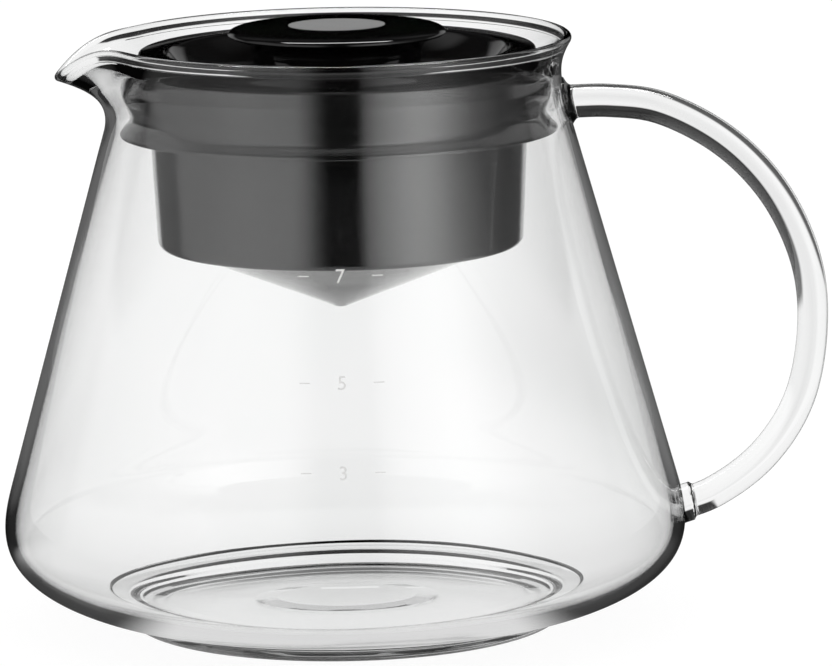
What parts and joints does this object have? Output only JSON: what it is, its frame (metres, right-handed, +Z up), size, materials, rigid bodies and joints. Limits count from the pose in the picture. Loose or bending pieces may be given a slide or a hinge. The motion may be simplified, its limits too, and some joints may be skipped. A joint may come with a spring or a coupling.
{
  "type": "glass coffee carafe with flow-through lid",
  "caption": "Glass cold brew carafe with a flared base, drawn spout and looped glass handle, closed by a gasketed lid with a push knob valve and a clear drip cone.",
  "frame": {"origin": "on the surface that the carafe stands on, under the middle of its outline from spout side to handle", "axes": "+Z up, +X from the spout side to the handle; the carafe's own axis is at x = -16.2 mm"},
  "size_m": [0.1844, 0.152, 0.1336],
  "materials": {
    "clear_glass": "clear, polished",
    "handle_glass": "clear, polished",
    "gloss_black": "gloss",
    "deck_black": "gloss",
    "knob_black": "gloss",
    "stem_black": "satin",
    "silicone": "satin silicone",
    "smoke_clear": "smoky clear gloss",
    "spring_steel": "bright wire"
  },
  "bodies": {
    "carafe": {"glass_body": "clear_glass", "glass_handle": "handle_glass"},
    "lid": {"lid_cup": "gloss_black", "lid_deck": "deck_black", "neck_gasket": "silicone", "drip_cone": "smoke_clear", "press_spring": "spring_steel"},
    "valve": {"knob_cap": "knob_black", "valve_stem": "stem_black", "valve_seal": "silicone"}
  },
  "joints": [
    {"name": "lid_lift", "type": "slide", "parent": "carafe", "child": "lid", "axis": [0, 0, 1], "range_m": [0, 0.075], "deforming": ["neck_gasket"]},
    {"name": "knob_press", "type": "slide", "parent": "lid", "child": "valve", "axis": [0, 0, -1], "range_m": [0, 0.0025], "stiffness_N_per_m": 600, "springref_m": -0.005, "deforming": ["press_spring"]}
  ]
}
